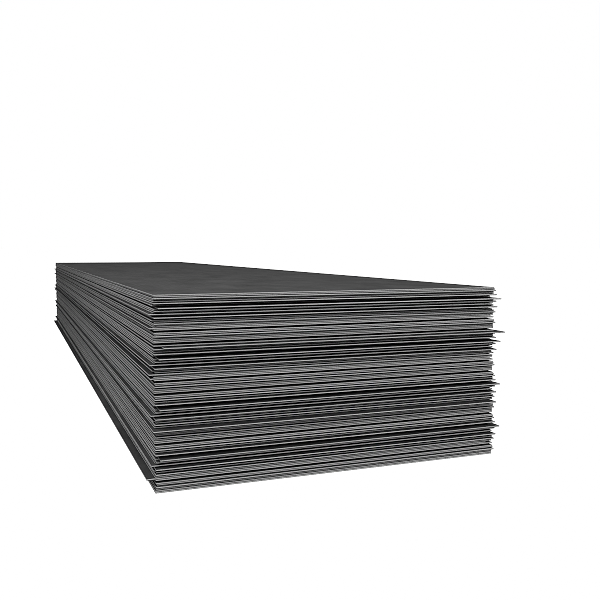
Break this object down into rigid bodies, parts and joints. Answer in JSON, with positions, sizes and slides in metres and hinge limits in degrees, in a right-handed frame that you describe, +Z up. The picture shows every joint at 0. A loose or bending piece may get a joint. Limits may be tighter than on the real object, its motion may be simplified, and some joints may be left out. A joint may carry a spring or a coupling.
{
  "type": "stack of steel sheets",
  "caption": "Tall stack of long, thin, dark hot-rolled steel sheets lying flat on one another, their bright cut edges standing in and out a little; flat stock for cutting and bending.",
  "frame": {"origin": "middle of the underside of the bottom sheet", "axes": "+X across the sheets, +Y along their length, away from the viewer, +Z up"},
  "size_m": [1.304, 5.536, 0.6219],
  "materials": {
    "mill_sheet": "dark mill scale on the faces, bare grey steel on the sheared edges"
  },
  "bodies": {
    "root": {"lift_1_pack_1": "mill_sheet", "lift_1_pack_2": "mill_sheet", "lift_1_pack_3": "mill_sheet", "lift_1_pack_4": "mill_sheet", "lift_1_pack_5": "mill_sheet", "lift_1_pack_6": "mill_sheet", "lift_1_pack_7": "mill_sheet", "lift_1_pack_8": "mill_sheet", "lift_2_pack_1": "mill_sheet", "lift_2_pack_2": "mill_sheet", "lift_2_pack_3": "mill_sheet", "lift_2_pack_4": "mill_sheet", "lift_2_pack_5": "mill_sheet", "lift_2_pack_6": "mill_sheet", "lift_2_pack_7": "mill_sheet", "lift_2_pack_8": "mill_sheet", "lift_3_pack_1": "mill_sheet", "lift_3_pack_2": "mill_sheet", "lift_3_pack_3": "mill_sheet", "lift_3_pack_4": "mill_sheet", "lift_3_pack_5": "mill_sheet", "lift_3_pack_6": "mill_sheet", "lift_3_pack_7": "mill_sheet", "lift_3_pack_8": "mill_sheet", "lift_4_pack_1": "mill_sheet", "lift_4_pack_2": "mill_sheet", "lift_4_pack_3": "mill_sheet", "lift_4_pack_4": "mill_sheet", "lift_4_pack_5": "mill_sheet", "lift_4_pack_6": "mill_sheet", "lift_4_pack_7": "mill_sheet", "lift_4_pack_8": "mill_sheet"}
  },
  "joints": []
}
